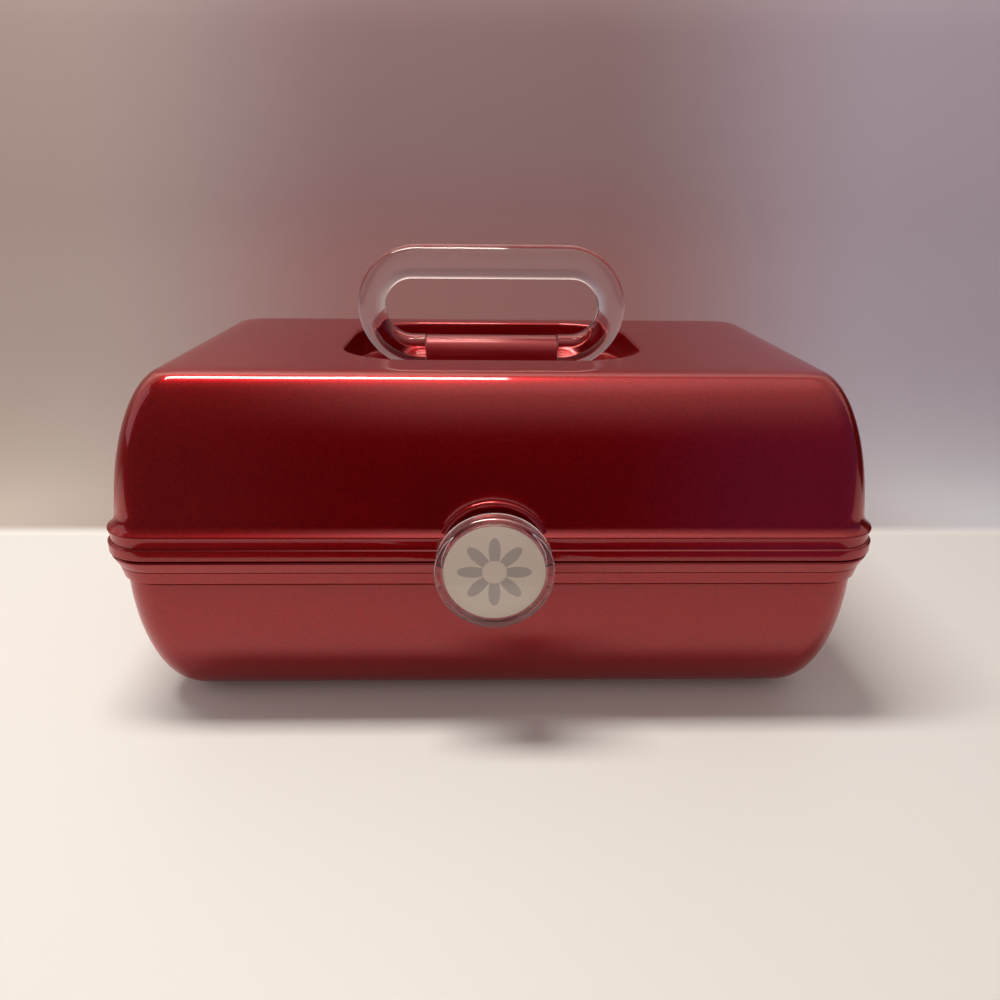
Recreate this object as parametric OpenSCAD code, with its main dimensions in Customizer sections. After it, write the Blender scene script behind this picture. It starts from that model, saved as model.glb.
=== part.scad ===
// Makeup storage case with a folding clear handle, a round front latch,
// a mirror in the lid and a tray that lifts and moves back as the lid opens.
// Millimetres. The origin is the middle of the flat underside; the front faces -Y.

/* [Case] */
// Width over the rim
rim_w = 330; // [300:5:400]
// Depth over the rim
rim_d = 200; // [190:2:240]
// Plan corner radius of the rim
rim_r = 20; // [14:1:30]
// Height of the joint line between the base and the lid
seam_z = 75.4; // [71:0.2:85]
// Height of the flat top of the lid
top_z = 150.5; // [145:0.5:168]
// Wall thickness of both shells
wall = 2.5; // [2:0.1:3]
// Gap seen along the joint line
seam_gap = 0.8; // [0.4:0.1:1.2]
// How far the lid curves in between its foot and its top
lid_round = 25; // [20:1:30]
// How far the base curves in between its collar and its underside
base_round = 20; // [16:1:28]
// Height of the low foot that the base stands on
foot_h = 3.5; // [1.5:0.5:4]
// How far the foot is inside the curve of the underside
foot_step = 3; // [2:0.5:8]

/* [Rim bands] */
// Height of the lip at the foot of the lid
lip_h = 4.7; // [4:0.1:5.5]
// Depth of the flat band above the lip
band_in = 1.1; // [0.6:0.1:1.4]
// Height of the flat band above the lip
band_h = 4.8; // [4:0.1:6]
// Height of the collar round the top of the base
collar_h = 11; // [10:0.5:12]
// Height of the tongue that stands up inside the lid
tongue_h = 3.6; // [2:0.1:3.8]
// Gap between the tongue and the inside of the lip
tongue_gap = 0.4; // [0.3:0.05:0.6]

/* [Hinges] */
// Distance of each hinge from the middle
hinge_x = 85; // [60:1:110]
// Outer radius of the hinge knuckles
knuckle_r = 4.6; // [4.2:0.1:4.8]
// Length of one knuckle
knuckle_l = 10; // [8:0.5:14]
// Radius of the hinge pins
hinge_pin_r = 1.5; // [1.2:0.1:2]
// Radial clearance of everything that turns on a pin
run_gap = 0.05; // [0.02:0.01:0.08]
// Side clearance between neighbouring hinge knuckles
side_gap = 0.3; // [0.2:0.05:0.5]

/* [Handle] */
// Place of the handle from front to back
handle_y = 4; // [0:0.5:6]
// Depth of the handle axis below the lid top
handle_drop = 6.5; // [6.5:0.1:7]
// Outer radius of the round ends of the loop
loop_r = 29.6; // [27:0.2:29.6]
// Distance of each round end from the middle
loop_x = 36.2; // [34:0.2:37]
// Width of the loop's bar, seen from the front
bar_w = 14.6; // [12:0.2:15]
// Thickness of the loop's bar from front to back
bar_t = 13; // [10:0.5:13]
// Rounding of the loop's edges
bar_edge = 4; // [2:0.5:5]
// Radius of the red barrel that the loop turns in
barrel_r = 8.5; // [8:0.1:8.5]
// Length of the barrel
barrel_l = 65; // [60:1:66]
// Radius of the loop's stub axles
axle_r = 4; // [3:0.1:5]
// Length of the loop's stub axles
axle_l = 12; // [8:1:16]
// Gap between the barrel ends and the loop
axle_gap = 0.4; // [0.3:0.1:0.6]

/* [Handle well] */
// Length of the well in the lid top
well_w = 140.6; // [138:0.2:150]
// Depth of the well from front to back
well_d = 106.4; // [106.4:0.2:110]
// Plan corner radius of the well
well_r = 34; // [24:1:34]
// How deep the well goes below the lid top
well_h = 15; // [15:0.2:16]

/* [Latch] */
// Height of the middle of the latch
latch_z = 77.3; // [77:0.1:79]
// Radius of the clear cover
cover_r = 24.2; // [23.6:0.1:25]
// Thickness of the clear cover's face
cover_t = 3.4; // [2.5:0.1:4]
// Length of the clear cover's skirt
skirt_l = 3.4; // [2:0.2:4]
// Radius of the card behind the cover
card_r = 20.8; // [18:0.1:21]
// Thickness of the card
card_t = 0.5; // [0.4:0.1:0.8]
// Radius of the largest ring of the latch cup
cup_r = 21.5; // [21:0.1:22]
// Length of the latch cup from back to front
cup_l = 11.2; // [10.6:0.1:12]
// Wall thickness of the latch cup
cup_wall = 2.4; // [2:0.1:2.6]
// Radius of the round pad that the latch sits on
pad_r = 24.7; // [23.5:0.1:27]
// How far the latch pivot is above the latch's middle
latch_rise = 13; // [12.6:0.1:13.4]
// Radius of the latch pin
latch_pin_r = 1.5; // [1.2:0.1:1.6]

/* [Tray] */
// Room between each end of the tray and the outside of the rim
tray_end_gap = 16.6; // [16.6:0.2:30]
// Room between the front of the tray and the outside of the rim
tray_front_gap = 14; // [14:0.5:30]
// Room between the back of the tray and the outside of the rim
tray_back_gap = 20; // [19:0.5:34]
// Height of the tray
tray_h = 38; // [34:0.5:38]
// Height of the tray's rim in the case
tray_top = 71; // [70.5:0.1:71]
// Wall and floor thickness of the tray
tray_wall = 2; // [1.4:0.1:2.4]
// Plan corner radius of the tray
tray_r = 14; // [10:1:20]
// Depth of the tray's back row
back_row = 62; // [45:1:75]
// How far the loose dividers stay below the tray's rim
divider_low = 6; // [2:0.5:12]
// Thickness of the loose dividers
divider_t = 1.6; // [1.2:0.1:1.8]

/* [Tray arms] */
// Length of the arms between their pivots
arm_l = 60; // [56:1:60]
// Angle of the arms below level when the case is shut
arm_dip = 10; // [8:1:10]
// Thickness of the arms
arm_t = 2.8; // [2:0.1:2.8]
// Width of the arms at their eyes
eye_d = 12; // [11:0.5:12]
// Radius of the arm pivots
pivot_r = 2.5; // [2:0.1:2.6]
// Distance from the hinge axis to the arm's pivot on the base
link_l = 70; // [68:0.5:72]
// Angle of that pivot below level, seen from the hinge axis
link_dip = 22; // [22:0.5:23]

/* [Mirror] */
// Length of the mirror frame
mirror_w = 226; // [200:2:230]
// Depth of the mirror frame from front to back
mirror_d = 124; // [110:2:124]
// Thickness of the mirror frame
mirror_t = 5; // [4:0.5:6]
// Width of the border round the glass
mirror_edge = 15; // [13:1:20]
// Thickness of the glass
glass_t = 3; // [2:0.5:3]

/* [Hidden] */
$fn = 64;

candy_red = "#8E1B22";
deep_red = "#7A151B";
clear = [0.92, 0.93, 0.94, 0.45];
steel = "#B9BCC0";
smoke = "#D9CFCB";

// Cutters run this far past the faces that they open.
over = 1;
// Parts that are joined run this far into each other.
bite = 1;
// Steps in each plan corner, and in the long curves of the walls.
corner_steps = 8;
curve_steps = 9;

// Joint line
lid_z = seam_z + seam_gap / 2;
base_z = seam_z - seam_gap / 2;
lip_t = 3;
tongue_out = lip_t + tongue_gap;
tongue_in = tongue_out + 1.6;
lid_in = 2.7;
base_in = 5;
lid_curve_z = seam_z - 4.4;
base_curve_z = base_z - collar_h - 3;
foot_in = base_in + base_round + foot_step;

// Hinge axis, just behind the rim and level with the joint line
hinge_y = rim_d / 2 + knuckle_r + 0.6;
hinge_z = seam_z;
knuckle_web = 4;
hinge_head = 1;

// Handle
handle_z = top_z - handle_drop;
loop_z = handle_z + loop_r - bar_w / 2;
well_floor = top_z - well_h;
saddle_w = 50;
saddle_d = 9;
saddle_h = 2;
seat_gap = 0.02;

// Screws, and how far past its own part each one goes
screw_r = 1.4;
screw_head_r = 2.8;
screw_head_t = 1.8;
recess_w = 3;
recess_t = 0.6;
recess_depth = 0.8;
barrel_screw_x = 18;
barrel_screw_in = 6;
mirror_screw_in = 8;
tip_gap = 1;

// Latch, measured forward of the case middle
pad_y = rim_d / 2 - 1.8;
cup_back = rim_d / 2;
cup_gap = 0.9;
pocket = 3;
cup_front = cup_back + cup_l;
latch_pin_y = cup_back + 3.5;
latch_pin_z = latch_z + latch_rise;
card_y = cup_front + card_t;
ear_r = 2.6;
ear_x = 5;
ear_t = 3.5;
grip_w = 3.5;
grip_x = ear_x + ear_t + 0.4;
latch_pin_l = 2 * (grip_x + grip_w);
keeper_w = 14;
keeper_h = 2.2;
keeper_y = cup_back - 0.4;
keeper_z = latch_z - 13;
hook_h = 2;
snap_gap = 0.3;

// Tray linkage: a parallelogram on the hinge axis, seen from the side
tray_w = rim_w - 2 * tray_end_gap;
tray_front = rim_d / 2 - tray_front_gap;
tray_back = rim_d / 2 - tray_back_gap;
tray_half = tray_w / 2;
arm_x = tray_half + 1.4;
rear_y = hinge_y - arm_l * cos(arm_dip);
rear_z = hinge_z - arm_l * sin(arm_dip);
anchor_y = hinge_y - link_l * cos(link_dip);
anchor_z = hinge_z - link_l * sin(link_dip);
front_y = rear_y + anchor_y - hinge_y;
front_z = rear_z + anchor_z - hinge_z;
eye_r = eye_d / 2;
face_gap = 0.1;
arm_boss_r = 5.5;
arm_pin_in = 4;
tray_boss_r = 5;
tray_boss_in = 4;
pin_head_r = 4.5;
pin_head_t = 0.7;
head_gap = 0.3;
ear_root = 4;
tray_z = tray_top - tray_h;
row_y = tray_back - tray_wall - back_row;
divider_x = [-52, 38];

// Mirror, hung from four posts beside the well
mirror_gap = 4;
mirror_top = well_floor - wall - mirror_gap;
mirror_r = 10;
mirror_lip = 1.2;
window_r = 4;
seat_w = 2;
glass_gap = 0.1;
post_in = 7;
post_x = mirror_w / 2 - post_in;
post_y = mirror_d / 2 - post_in;
post_r = 4.5;

// One ring of points: a rounded rectangle drawn in from the rim by inset.
function plan_r(inset) = max(rim_r - 0.4 * inset, 6);
function ring(inset, z) = [
  for (quarter = [0:3])
    for (step = [0:corner_steps])
      let (
        r = plan_r(inset),
        a = 90 * (quarter + step / corner_steps),
        sx = quarter == 0 || quarter == 3 ? 1 : -1,
        sy = quarter < 2 ? 1 : -1
      )
      [
        sx * (rim_w / 2 - inset - r) + r * cos(a),
        sy * (rim_d / 2 - inset - r) + r * sin(a),
        z
      ]
];

// A quarter ellipse that leaves the wall at z0 and lies level at z1.
function curve(inset, reach, z0, z1, first, last) = [
  for (step = [0:curve_steps])
    let (a = first + (last - first) * step / curve_steps)
    [inset + reach * (1 - cos(a)), z0 + (z1 - z0) * sin(a)]
];

// A closed shell from a profile that runs over the outside and back inside.
module loft(profile) {
  count = 4 * (corner_steps + 1);
  rings = len(profile);
  points = [for (p = profile) each ring(p[0], p[1])];
  sides = [
    for (i = [0:rings - 2])
      for (j = [0:count - 1])
        let (k = (j + 1) % count)
        each [
          [i * count + j, (i + 1) * count + k, i * count + k],
          [i * count + j, (i + 1) * count + j, (i + 1) * count + k]
        ]
  ];
  first_cap = [for (j = [0:count - 1]) j];
  last_cap = [for (j = [count - 1:-1:0]) (rings - 1) * count + j];
  polyhedron(points = points, faces = concat(sides, [first_cap], [last_cap]));
}

// Flat rounded rectangle with true arcs in its corners.
module rounded(w, d, r) {
  square([w - 2 * r, d], center = true);
  square([w, d - 2 * r], center = true);
  for (x = [-1, 1], y = [-1, 1])
    translate([x * (w / 2 - r), y * (d / 2 - r)])
      circle(r);
}

// Round bar along X from x0 to x1.
module bar_x(x0, x1, r, y, z) {
  translate([x0, y, z])
    rotate([0, 90, 0])
      cylinder(h = x1 - x0, r = r);
}

// Round bar that runs forward from y = -back to y = -front.
module bar_y(back, front, r, z) {
  translate([0, -back, z])
    rotate([90, 0, 0])
      cylinder(h = front - back, r = r);
}

// Both sides of the case.
module both_sides() {
  children();
  mirror([1, 0, 0])
    children();
}

function lid_outside() = concat(
  [
    [0.6, lid_z],
    [0, lid_z + 0.6],
    [0, lid_z + lip_h - 0.6],
    [0.4, lid_z + lip_h],
    [band_in, lid_z + lip_h + 0.1],
    [band_in, lid_z + lip_h + band_h],
    [0.4, lid_z + lip_h + band_h + 0.7],
    [0.4, lid_z + lip_h + band_h + 2],
    [1.4, lid_z + lip_h + band_h + 3.6]
  ],
  curve(lid_in, lid_round, lid_curve_z, top_z, 15, 90)
);

function lid_inside() = concat(
  curve(lid_in + wall, lid_round, lid_curve_z, top_z - wall, 90, 10),
  [
    [lip_t, lid_z + tongue_h + 1],
    [lip_t, lid_z]
  ]
);

function base_outside() = concat(
  [
    [foot_in + 0.5, 0],
    [foot_in, 0.5],
    [foot_in, foot_h]
  ],
  curve(base_in, base_round, base_curve_z, foot_h, 90, 0),
  [
    [base_in, base_z - collar_h - 0.4],
    [base_in - 1.3, base_z - collar_h + 0.4],
    [2.6, base_z - 5.7],
    [3.1, base_z - 5.4],
    [2.3, base_z - 5],
    [0.6, base_z - 0.6],
    [1, base_z],
    [tongue_out, base_z]
  ]
);

function base_inside() = concat(
  [
    [tongue_out, base_z + tongue_h - 0.4],
    [tongue_out + 0.4, base_z + tongue_h],
    [tongue_in, base_z + tongue_h],
    [tongue_in, base_z - 6]
  ],
  curve(base_in + wall, base_round, base_curve_z, foot_h + wall, 0, 90),
  [
    [foot_in + wall, foot_h + wall],
    [foot_in + wall, wall]
  ]
);

// Hinge knuckle with its web back to the rim; side is -1 below, 1 above.
module knuckle(x, length, side) {
  bar_x(x - length / 2, x + length / 2, knuckle_r, hinge_y, hinge_z);
  web_z = side > 0 ? lid_z + 0.2 : base_z - 0.2 - knuckle_web;
  translate([x - length / 2, rim_d / 2 - 2, web_z])
    cube([length, hinge_y - rim_d / 2 + 2, knuckle_web]);
}

// Room that the round latch cup needs in the rim bands.
module latch_room() {
  bar_y(pad_y, cup_front, cup_r + cup_gap, latch_z);
}

module base_shell() {
  knuckle_x = knuckle_l + side_gap;
  color(candy_red)
    difference() {
      union() {
        loft(concat(base_outside(), base_inside()));
        for (x = [-hinge_x, hinge_x], end = [-1, 1])
          knuckle(x + end * knuckle_x, knuckle_l, -1);
        both_sides()
          bar_x(arm_x + arm_t + face_gap, rim_w / 2 - base_in - bite, arm_boss_r, anchor_y, anchor_z);
        keeper();
      }
      for (x = [-hinge_x, hinge_x])
        bar_x(x - 2 * knuckle_l, x + 2 * knuckle_l, hinge_pin_r, hinge_y, hinge_z);
      both_sides()
        bar_x(arm_x, arm_x + arm_t + arm_pin_in + over, pivot_r, anchor_y, anchor_z);
      difference() {
        latch_room();
        keeper();
      }
    }
}

// Ledge on the collar that the latch snaps over.
module keeper() {
  translate([-keeper_w / 2, -keeper_y, keeper_z])
    cube([keeper_w, keeper_y - rim_d / 2 + base_in + 0.4, keeper_h]);
}

// Ear on the lid's inner side wall that carries the back of the tray.
module tray_ear() {
  root_z = lid_z + tongue_h + 3;
  translate([arm_x, rear_y - eye_r, root_z])
    cube([rim_w / 2 - lid_in - wall - arm_x + bite, eye_d, ear_root]);
  translate([arm_x, rear_y - eye_r, rear_z])
    cube([arm_t, eye_d, root_z + ear_root - rear_z]);
  bar_x(arm_x, arm_x + arm_t, eye_r, rear_y, rear_z);
}

// Posts that the mirror frame is screwed to.
module mirror_places() {
  for (x = [-post_x, post_x], y = [-post_y, post_y])
    translate([x, handle_y + y, 0])
      children();
}

module lid_shell() {
  color(candy_red) {
    difference() {
      union() {
        difference() {
          loft(concat(lid_inside(), lid_outside()));
          translate([0, handle_y, top_z - wall - over])
            linear_extrude(wall + 2 * over)
              rounded(well_w, well_d, well_r);
        }
        // Tub of the handle well
        translate([0, handle_y, well_floor - wall])
          linear_extrude(top_z - well_floor + wall - 0.2)
            rounded(well_w + 2 * wall, well_d + 2 * wall, well_r + wall);
        for (x = [-hinge_x, hinge_x])
          knuckle(x, knuckle_l, 1);
        both_sides()
          tray_ear();
        mirror_places()
          translate([0, 0, mirror_top])
            cylinder(h = top_z - wall / 2 - mirror_top, r = post_r);
        // Round pad behind the latch, level with the lid's foot
        difference() {
          bar_y(rim_d / 2 - lid_in - wall, pad_y, pad_r, latch_z);
          translate([-pad_r - over, -rim_d / 2, lid_z - 2 * pad_r])
            cube([2 * (pad_r + over), rim_d / 4, 2 * pad_r]);
          translate([-pad_r - over, lip_t - rim_d / 2, lid_z - over])
            cube([2 * (pad_r + over), rim_d / 4, tongue_h + 2 * over]);
        }
      }
      translate([0, handle_y, well_floor])
        linear_extrude(well_h + over)
          rounded(well_w, well_d, well_r);
      for (x = [-hinge_x, hinge_x])
        bar_x(x - knuckle_l, x + knuckle_l, hinge_pin_r + run_gap, hinge_y, hinge_z);
      both_sides()
        bar_x(arm_x - over, arm_x + arm_t + over, pivot_r + run_gap, rear_y, rear_z);
      for (x = [-barrel_screw_x, barrel_screw_x])
        translate([x, handle_y, well_floor - wall - over])
          cylinder(h = wall + 2 * over, r = screw_r + run_gap);
      mirror_places()
        translate([0, 0, mirror_top - over])
          cylinder(h = mirror_screw_in + tip_gap + over, r = screw_r);
      latch_room();
      latch_pocket();
    }
    latch_ears();
    barrel_saddle();
  }
}

// Saddle on the floor of the well that the barrel lies in.
module barrel_saddle() {
  difference() {
    translate([-saddle_w / 2, handle_y - saddle_d / 2, well_floor - bite])
      cube([saddle_w, saddle_d, bite + saddle_h]);
    bar_x(-saddle_w, saddle_w, barrel_r + seat_gap, handle_y, handle_z);
    for (x = [-barrel_screw_x, barrel_screw_x])
      translate([x, handle_y, well_floor - wall - over])
        cylinder(h = wall + saddle_h + 2 * over, r = screw_r + run_gap);
  }
}

// Hollow behind the cup that lets its top swing in.
module latch_pocket() {
  intersection() {
    bar_y(pad_y - pocket, pad_y + over, cup_r + cup_gap, latch_z);
    translate([-2 * cup_r, -pad_y - over, latch_pin_z - 1])
      cube([4 * cup_r, pocket + over, 2 * cup_r]);
  }
}

// Two ears on the lid that hold the latch pin.
module latch_ears() {
  both_sides()
    difference() {
      union() {
        bar_x(ear_x, ear_x + ear_t, ear_r, -latch_pin_y, latch_pin_z);
        translate([ear_x, -latch_pin_y, latch_pin_z - ear_r])
          cube([ear_t, latch_pin_y - rim_d / 2 + lid_in + 2, 2 * ear_r]);
      }
      bar_x(ear_x - over, ear_x + ear_t + over, latch_pin_r + run_gap, -latch_pin_y, latch_pin_z);
    }
}

// Steel hinge pin with a small head at its outer end.
module hinge_pin(side) {
  reach = 1.5 * knuckle_l + side_gap;
  color(steel) {
    bar_x(side * hinge_x - reach, side * hinge_x + reach, hinge_pin_r, hinge_y, hinge_z);
    head_x = side > 0 ? hinge_x + reach : -hinge_x - reach - hinge_head;
    bar_x(head_x, head_x + hinge_head, hinge_pin_r + 0.9, hinge_y, hinge_z);
  }
}

// Cross-section of the loop: flat faces with well rounded edges.
module bar_section() {
  rounded(bar_w, bar_t, bar_edge);
}

module handle_loop() {
  mid_r = loop_r - bar_w / 2;
  start_x = barrel_l / 2 + axle_gap;
  color(clear)
    translate([0, handle_y, 0]) {
      translate([-loop_x, 0, loop_z + mid_r])
        rotate([0, 90, 0])
          linear_extrude(2 * loop_x)
            bar_section();
      both_sides() {
        translate([loop_x, 0, loop_z])
          rotate([90, 0, 0])
            rotate([0, 0, -90])
              rotate_extrude(angle = 180)
                translate([mid_r, 0])
                  bar_section();
        translate([start_x, 0, handle_z])
          rotate([0, 90, 0])
            linear_extrude(loop_x - start_x)
              bar_section();
        bar_x(start_x - axle_gap - axle_l, start_x, axle_r, 0, handle_z);
      }
    }
}

module handle_barrel() {
  half = barrel_l / 2;
  color(deep_red)
    difference() {
      bar_x(-half, half, barrel_r, handle_y, handle_z);
      both_sides()
        bar_x(half - axle_l - 1, half + over, axle_r + run_gap, handle_y, handle_z);
      for (x = [-barrel_screw_x, barrel_screw_x])
        translate([x, handle_y, handle_z - barrel_r - over])
          cylinder(h = barrel_screw_in + tip_gap + over, r = screw_r);
    }
}

// Pan-head screw pointing up, with its head's top face at z = 0.
module screw(length) {
  cylinder(h = length, r = screw_r);
  translate([0, 0, -screw_head_t])
    difference() {
      cylinder(h = screw_head_t, r = screw_head_r);
      for (turn = [0, 90])
        rotate([0, 0, turn])
          translate([-recess_w / 2, -recess_t / 2, -over])
            cube([recess_w, recess_t, over + recess_depth]);
    }
}

module barrel_screws() {
  color(steel)
    for (x = [-barrel_screw_x, barrel_screw_x])
      translate([x, handle_y, well_floor - wall])
        screw(wall + barrel_screw_in);
}

module latch_cup() {
  inner_r = cup_r - cup_wall - 1.2;
  step_l = cup_l / 4;
  color(candy_red)
    difference() {
      union() {
        difference() {
          for (step = [0:3])
            bar_y(cup_back + step * step_l, cup_front, cup_r - 1.3 + 0.43 * step, latch_z);
          bar_y(cup_back - over, cup_front - cup_wall, inner_r, latch_z);
        }
        // Blocks that grip the pin outside the lid's ears
        intersection() {
          both_sides()
            translate([grip_x, -cup_front + over, latch_pin_z - ear_r])
              cube([grip_w, cup_l - over - 0.6, 2 * ear_r + 3]);
          bar_y(cup_back, cup_front, inner_r + over, latch_z);
        }
        // Snap hook that passes just in front of the keeper
        translate([1 - keeper_w / 2, -cup_front + bite, keeper_z - hook_h - 0.4])
          cube([keeper_w - 2, cup_front - bite - keeper_y - snap_gap, hook_h]);
      }
      bar_x(-grip_x - grip_w, cup_r, latch_pin_r, -latch_pin_y, latch_pin_z);
      // Slots that let the top of the cup swing past the ears
      both_sides()
        translate([ear_x - 0.4, -latch_pin_y - 1.5, latch_pin_z])
          cube([ear_t + 0.8, 6, 12]);
    }
}

module latch_cover() {
  color(clear)
    difference() {
      translate([0, -card_y + skirt_l, latch_z])
        rotate([90, 0, 0])
          rotate_extrude()
            polygon([
              [0, 0],
              [cover_r, 0],
              [cover_r, skirt_l + cover_t - 2.2],
              for (a = [0:15:90]) [cover_r - 2.2 + 2.2 * cos(a), skirt_l + cover_t - 2.2 + 2.2 * sin(a)],
              [0, skirt_l + cover_t]
            ]);
      bar_y(card_y - skirt_l - over, card_y, cup_r + 0.15, latch_z);
    }
}

module latch_card() {
  color(smoke)
    bar_y(cup_front, card_y, card_r, latch_z);
}

module latch_pin() {
  color(steel)
    bar_x(-latch_pin_l / 2, latch_pin_l / 2, latch_pin_r, -latch_pin_y, latch_pin_z);
}

// Boss on each tray end for a pivot pin.
module tray_boss(y, z) {
  bar_x(tray_half - tray_wall - tray_boss_in, arm_x - face_gap, tray_boss_r, y, z);
}

module tray() {
  depth = tray_front + tray_back;
  mid_y = (tray_back - tray_front) / 2;
  cells_back = 4;
  cell_w = tray_w / cells_back;
  color(smoke)
    difference() {
      union() {
        difference() {
          translate([0, mid_y, tray_z])
            linear_extrude(tray_h)
              rounded(tray_w, depth, tray_r);
          intersection() {
            translate([0, mid_y, tray_z + tray_wall])
              linear_extrude(tray_h)
                rounded(tray_w - 2 * tray_wall, depth - 2 * tray_wall, tray_r - tray_wall);
            union() {
              // Front row, one long bin
              translate([-tray_half, -tray_front, tray_z + tray_wall])
                cube([tray_w, row_y - tray_wall + tray_front, tray_h]);
              // Back row, four bins
              for (cell = [0:cells_back - 1])
                translate([-tray_half + cell * cell_w + tray_wall / 2, row_y, tray_z + tray_wall])
                  cube([cell_w - tray_wall, back_row, tray_h]);
            }
          }
        }
        both_sides() {
          tray_boss(rear_y, rear_z);
          tray_boss(front_y, front_z);
        }
      }
      both_sides() {
        bar_x(tray_half - tray_wall - tray_boss_in - over, arm_x + over, pivot_r, rear_y, rear_z);
        bar_x(tray_half - tray_wall - tray_boss_in - over, arm_x + over, pivot_r, front_y, front_z);
      }
    }
}

// Loose dividers that stand across the tray's front row.
module tray_dividers() {
  row_d = row_y - tray_wall + tray_front - tray_wall;
  color(clear)
    for (x = divider_x)
      translate([x - divider_t / 2, -tray_front + tray_wall + 0.2, tray_z + tray_wall])
        cube([divider_t, row_d - 0.4, tray_h - tray_wall - divider_low]);
}

// Flat arm with two eyes, from the base pivot to the front of the tray.
// The base pin's head lies in a recess in its inner face.
module tray_arm() {
  color(smoke)
    difference() {
      union() {
        bar_x(arm_x, arm_x + arm_t, eye_r, anchor_y, anchor_z);
        bar_x(arm_x, arm_x + arm_t, eye_r, front_y, front_z);
        translate([arm_x, anchor_y, anchor_z])
          rotate([arm_dip, 0, 0])
            translate([0, -arm_l, -eye_r + 1])
              cube([arm_t, arm_l, eye_d - 2]);
      }
      bar_x(arm_x - over, arm_x + arm_t + over, pivot_r + run_gap, anchor_y, anchor_z);
      bar_x(arm_x - over, arm_x + pin_head_t + face_gap, pin_head_r + head_gap, anchor_y, anchor_z);
      bar_x(arm_x - over, arm_x + arm_t + over, pivot_r + run_gap, front_y, front_z);
    }
}

// Pin fixed in the base, with its head flush with the arm's inner face.
module arm_base_pin() {
  color(steel) {
    bar_x(arm_x, arm_x + arm_t + arm_pin_in, pivot_r, anchor_y, anchor_z);
    bar_x(arm_x, arm_x + pin_head_t, pin_head_r, anchor_y, anchor_z);
  }
}

// Pin fixed in the tray, with its head outside the arm or ear.
module tray_pin(y, z) {
  tip = arm_x + arm_t + face_gap;
  color(steel) {
    bar_x(tray_half - tray_wall - tray_boss_in, tip, pivot_r, y, z);
    bar_x(tip, tip + pin_head_t, pin_head_r, y, z);
  }
}

module mirror_frame() {
  window_w = mirror_w - 2 * mirror_edge;
  window_d = mirror_d - 2 * mirror_edge;
  color(smoke)
    translate([0, handle_y, mirror_top - mirror_t])
      difference() {
        linear_extrude(mirror_t)
          rounded(mirror_w, mirror_d, mirror_r);
        translate([0, 0, -over])
          linear_extrude(mirror_t + 2 * over)
            rounded(window_w - 2 * seat_w, window_d - 2 * seat_w, window_r);
        translate([0, 0, mirror_lip])
          linear_extrude(mirror_t)
            rounded(window_w, window_d, window_r);
        for (x = [-post_x, post_x], y = [-post_y, post_y])
          translate([x, y, -over])
            cylinder(h = mirror_t + 2 * over, r = screw_r + run_gap);
      }
}

module mirror_glass() {
  edge = mirror_edge + glass_gap;
  color([0.8, 0.85, 0.88])
    translate([0, handle_y, mirror_top - mirror_t + mirror_lip])
      linear_extrude(glass_t)
        rounded(mirror_w - 2 * edge, mirror_d - 2 * edge, window_r);
}

module mirror_screws() {
  color(steel)
    mirror_places()
      translate([0, 0, mirror_top - mirror_t])
        screw(mirror_t + mirror_screw_in);
}

base_shell();
lid_shell();
hinge_pin(-1);  // hinge_pin_left
hinge_pin(1);  // hinge_pin_right
handle_loop();
handle_barrel();
barrel_screws();
latch_cup();
latch_cover();
latch_card();
latch_pin();
tray();
tray_dividers();
mirror([1, 0, 0]) tray_arm();  // tray_arm_left
tray_arm();  // tray_arm_right
mirror([1, 0, 0]) arm_base_pin();  // arm_base_pin_left
arm_base_pin();  // arm_base_pin_right
mirror([1, 0, 0]) tray_pin(front_y, front_z);  // tray_front_pin_left
tray_pin(front_y, front_z);  // tray_front_pin_right
mirror([1, 0, 0]) tray_pin(rear_y, rear_z);  // tray_rear_pin_left
tray_pin(rear_y, rear_z);  // tray_rear_pin_right
mirror_frame();
mirror_glass();
mirror_screws();
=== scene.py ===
import math

import bmesh
import bpy
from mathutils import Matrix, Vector


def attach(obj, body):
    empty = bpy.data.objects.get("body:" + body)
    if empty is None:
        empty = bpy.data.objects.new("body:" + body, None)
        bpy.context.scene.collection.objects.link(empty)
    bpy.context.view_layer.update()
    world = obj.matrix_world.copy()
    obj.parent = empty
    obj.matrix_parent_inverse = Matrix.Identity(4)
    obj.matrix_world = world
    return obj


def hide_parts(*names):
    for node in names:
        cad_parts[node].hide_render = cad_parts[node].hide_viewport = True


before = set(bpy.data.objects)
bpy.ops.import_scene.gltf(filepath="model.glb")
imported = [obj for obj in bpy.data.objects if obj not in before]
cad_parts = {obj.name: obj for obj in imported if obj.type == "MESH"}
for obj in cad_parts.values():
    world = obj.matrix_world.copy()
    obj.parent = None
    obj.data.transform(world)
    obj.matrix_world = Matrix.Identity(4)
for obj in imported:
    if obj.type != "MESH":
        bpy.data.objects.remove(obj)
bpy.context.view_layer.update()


# ---- Camera ----
# A phone held low in front of the case, looking down at it by 21 degrees and turned a little to the right.
# Its lens and place were solved from the case's outline in the photograph.
camera_data = bpy.data.cameras.new("phone_camera")
camera_data.lens = 29.194
camera_data.sensor_width = 36
camera_data.clip_start = 0.01
camera = bpy.data.objects.new("phone_camera", camera_data)
camera.location = (-0.00609, -0.40595, 0.22043)
camera.rotation_euler = [math.radians(a) for a in (69.095, -0.555, -1.350)]
bpy.context.scene.collection.objects.link(camera)
bpy.context.scene.camera = camera
bpy.context.scene.view_settings.view_transform = "Standard"


# ---- Table top and wall ----
# The case stands on a smooth off-white laminate table, whose front edge is under the camera. The painted wall
# is a sweep: it lies flat behind the case and then rises, so that the lid has room to open.
def linear(code):
    """An sRGB hex code as linear RGBA."""
    parts = [int(code[i:i + 2], 16) / 255 for i in (1, 3, 5)]
    return [c / 12.92 if c <= 0.04045 else ((c + 0.055) / 1.055) ** 2.4 for c in parts] + [1.0]


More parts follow.
